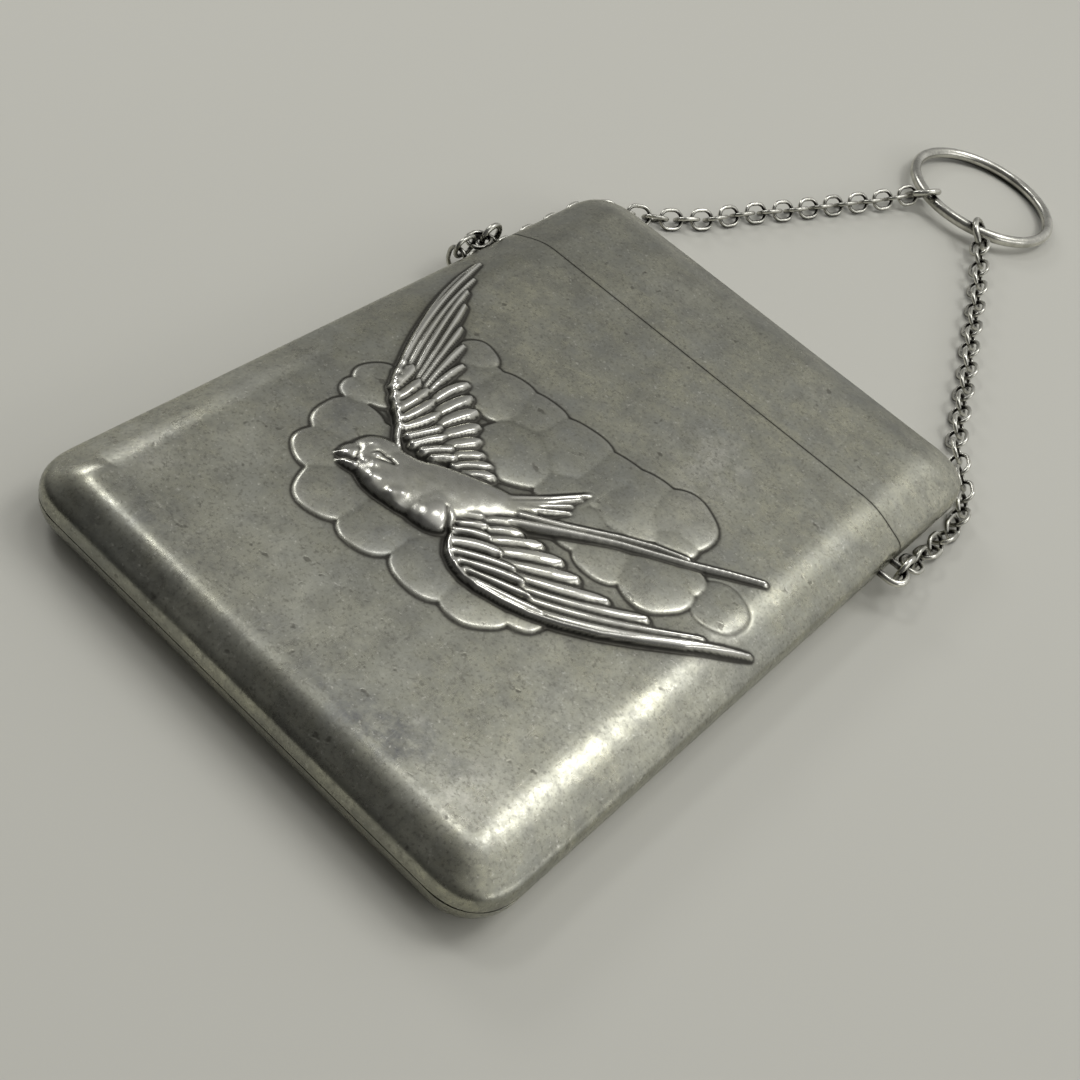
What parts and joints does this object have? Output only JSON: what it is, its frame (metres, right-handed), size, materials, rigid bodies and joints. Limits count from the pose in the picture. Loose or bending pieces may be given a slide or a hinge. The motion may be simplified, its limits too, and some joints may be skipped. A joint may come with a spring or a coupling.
{
  "type": "card case",
  "caption": "Flat pocket case for visiting cards with a hinged lid, a relief of a flying swallow over clouds, and a chain that ends in a finger ring.",
  "frame": {"origin": "centre of the flat back face, which lies on the table", "axes": "+Y from the bottom end towards the lid and the chain, +Z out of the front face with the relief, +X to the right seen from the front"},
  "size_m": [0.0744, 0.1818, 0.0104],
  "materials": {
    "case_silver": "satin, tarnished silver",
    "chain_silver": "polished silver, tarnished in the hollows"
  },
  "bodies": {
    "case": {"body_front_shell": "case_silver", "body_back_shell": "case_silver", "mouth_rim": "case_silver", "body_hinge_knuckles": "case_silver", "hinge_pin": "case_silver", "left_lug": "chain_silver", "right_lug": "chain_silver"},
    "lid": {"lid_front_shell": "case_silver", "lid_back_shell": "case_silver", "lid_hinge_knuckles": "case_silver"},
    "slack": {"left_lug_ring": "chain_silver", "left_slack_links": "chain_silver"},
    "chain_near": {"right_lug_ring": "chain_silver", "left_chain_near": "chain_silver", "right_chain_near": "chain_silver"},
    "chain_middle": {"left_chain_middle": "chain_silver", "right_chain_middle": "chain_silver"},
    "chain_far": {"left_chain_far": "chain_silver", "right_chain_far": "chain_silver"},
    "ring_links": {"left_ring_link": "chain_silver", "right_ring_link": "chain_silver"},
    "ring": {"finger_ring": "chain_silver"}
  },
  "joints": [
    {"name": "lid_hinge", "type": "hinge", "parent": "case", "child": "lid", "pos_m": [0, 0.0294, 0.0009], "axis": [-1, 0, 0], "range_deg": [0, 95]},
    {"name": "slack_swing", "type": "hinge", "parent": "case", "child": "slack", "pos_m": [0, 0.0283, 0.0043], "axis": [1, 0, 0], "range_deg": [-12, 0]},
    {"name": "chain_swing", "type": "hinge", "parent": "case", "child": "chain_near", "pos_m": [0, 0.0283, 0.0043], "axis": [1, 0, 0], "range_deg": [0, 90]},
    {"name": "near_fold", "type": "hinge", "parent": "chain_near", "child": "chain_middle", "pos_m": [0, 0.06, 0.00131], "axis": [1, 0, 0], "range_deg": [-30, 30]},
    {"name": "far_fold", "type": "hinge", "parent": "chain_middle", "child": "chain_far", "pos_m": [0, 0.082, 0.00131], "axis": [1, 0, 0], "range_deg": [-30, 30]},
    {"name": "ring_link_fold", "type": "hinge", "parent": "chain_far", "child": "ring_links", "pos_m": [0, 0.106, 0.00229], "axis": [1, 0, 0], "range_deg": [-20, 20]},
    {"name": "ring_flip", "type": "hinge", "parent": "ring_links", "child": "ring", "pos_m": [0, 0.10801, 0.00229], "axis": [1, 0, 0], "range_deg": [0, 90]}
  ]
}
